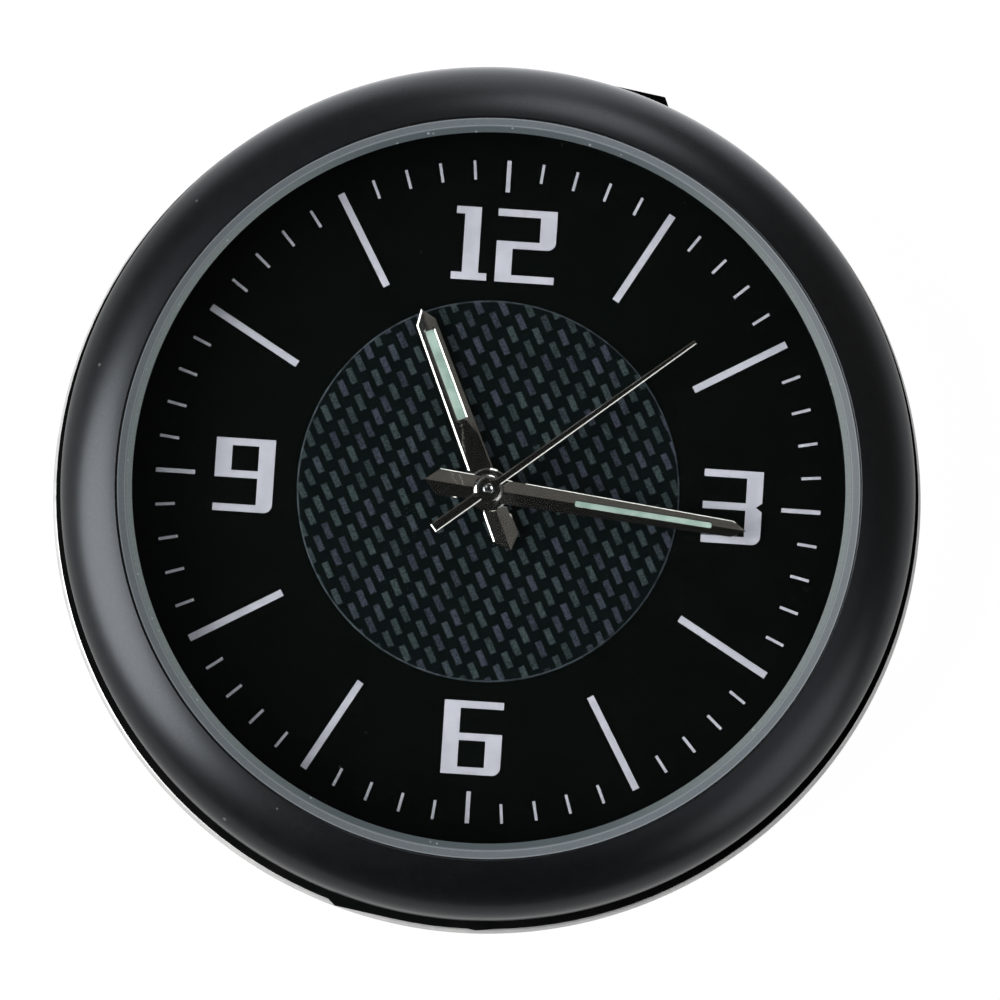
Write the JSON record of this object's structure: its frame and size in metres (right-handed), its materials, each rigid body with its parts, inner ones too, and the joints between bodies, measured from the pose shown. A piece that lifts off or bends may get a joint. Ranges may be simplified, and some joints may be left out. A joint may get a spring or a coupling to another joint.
{
  "type": "car dashboard clock",
  "caption": "Round stick-on car dashboard clock with a convex black bezel, bevelled glass, black dial with white numerals, ridged hands and a quartz movement.",
  "frame": {"origin": "centre of the adhesive face on the clock's back", "axes": "+Z out of the dial, +Y to twelve o'clock, +X to three o'clock"},
  "size_m": [0.0408, 0.0408, 0.0089],
  "materials": {
    "bezel_black": "satin black paint",
    "glass": "polished, with a ground bevel",
    "seal_rubber": "matt",
    "case_black": "moulded, satin",
    "back_steel": "brushed",
    "foam": "closed-cell adhesive foam",
    "liner_film": "thin release film",
    "dial_black": "smooth black",
    "weave": "lacquered woven carbon look",
    "print_white": "printed",
    "hand_metal": "black nickel, polished",
    "lume": "luminous paint",
    "bright_steel": "polished",
    "brass": "stamped",
    "plate_resin": "moulded",
    "ring_resin": "moulded",
    "bridge_nickel": "nickel plated",
    "magnet": "sintered",
    "copper": "enamelled copper wire",
    "board_green": "solder mask",
    "chip_black": "moulded"
  },
  "bodies": {
    "case": {"bezel_ring": "bezel_black", "crystal": "glass", "crystal_gasket": "seal_rubber", "case_body": "case_black", "back_gasket": "seal_rubber", "dial_plate": "dial_black", "weave_disc": "weave", "dial_numerals": "print_white", "hour_batons": "print_white", "minute_track": "print_white", "movement_ring": "ring_resin", "main_plate": "plate_resin", "train_bridge": "bridge_nickel", "bridge_screws": "bright_steel", "centre_bridge": "bridge_nickel", "centre_bridge_screws": "bright_steel", "centre_tube": "bright_steel", "dial_washer": "brass", "stator": "bridge_nickel", "coil_core": "bridge_nickel", "coil_winding": "copper", "circuit_board": "board_green", "quartz_can": "bright_steel", "driver_chip": "chip_black", "button_cell": "bright_steel", "cell_clip": "bridge_nickel", "clip_screws": "bright_steel", "negative_contact": "brass", "stem_stop": "bridge_nickel"},
    "hour": {"hour_hand": "hand_metal", "hour_lume": "lume", "hour_wheel": "brass"},
    "minute": {"minute_hand": "hand_metal", "minute_lume": "lume", "cannon_pinion": "bright_steel", "centre_wheel": "brass"},
    "seconds": {"seconds_hand": "hand_metal", "seconds_pipe": "bright_steel", "seconds_wheel": "brass"},
    "third": {"third_wheel": "brass"},
    "fifth": {"fifth_wheel": "brass"},
    "rotor": {"rotor_pinion": "ring_resin", "rotor_magnet": "magnet"},
    "motion": {"minute_wheel": "brass"},
    "setter": {"setting_wheel": "brass"},
    "clutch_body": {"clutch": "bright_steel"},
    "stem": {"setting_stem": "bright_steel", "crown": "bright_steel"},
    "back": {"back_cover": "back_steel", "adhesive_pad": "foam", "release_liner": "liner_film"}
  },
  "joints": [
    {"name": "minute_turn", "type": "hinge", "parent": "case", "child": "minute", "pos_m": [0, 0, 0.00695], "axis": [0, 0, -1], "continuous": true},
    {"name": "hour_turn", "type": "hinge", "parent": "case", "child": "hour", "pos_m": [0, 0, 0.00655], "axis": [0, 0, -1], "continuous": true},
    {"name": "seconds_turn", "type": "hinge", "parent": "case", "child": "seconds", "pos_m": [0, 0, 0.00735], "axis": [0, 0, -1], "continuous": true},
    {"name": "third_turn", "type": "hinge", "parent": "case", "child": "third", "pos_m": [-0.00067, 0.00379, 0.0035], "axis": [0, 0, -1], "continuous": true},
    {"name": "fifth_turn", "type": "hinge", "parent": "case", "child": "fifth", "pos_m": [-0.00386, -0.00104, 0.0032], "axis": [0, 0, -1], "continuous": true},
    {"name": "rotor_turn", "type": "hinge", "parent": "case", "child": "rotor", "pos_m": [-0.00573, -0.00212, 0.0041], "axis": [0, 0, -1], "continuous": true},
    {"name": "motion_turn", "type": "hinge", "parent": "case", "child": "motion", "pos_m": [0.00218, 0.00101, 0.005], "axis": [0, 0, -1], "continuous": true},
    {"name": "setter_turn", "type": "hinge", "parent": "case", "child": "setter", "pos_m": [0.00513, 0.00049, 0.005], "axis": [0, 0, -1], "continuous": true},
    {"name": "crown_turn", "type": "hinge", "parent": "case", "child": "clutch_body", "pos_m": [0.0074, 0, 0.00425], "axis": [1, 0, 0], "continuous": true},
    {"name": "crown_pull", "type": "slide", "parent": "clutch_body", "child": "stem", "axis": [1, 0, 0], "range_m": [0, 0.0009]},
    {"name": "back_cover_off", "type": "slide", "parent": "case", "child": "back", "axis": [0, 0, -1], "range_m": [0, 0.008]}
  ],
  "couplings": [
    {"joint": "hour_turn", "follows": "minute_turn", "ratio": 0.083333},
    {"joint": "seconds_turn", "follows": "minute_turn", "ratio": 60},
    {"joint": "third_turn", "follows": "minute_turn", "ratio": -10},
    {"joint": "fifth_turn", "follows": "minute_turn", "ratio": -360},
    {"joint": "rotor_turn", "follows": "minute_turn", "ratio": 1800},
    {"joint": "motion_turn", "follows": "minute_turn", "ratio": -0.33333},
    {"joint": "setter_turn", "follows": "minute_turn", "ratio": 0.5}
  ]
}
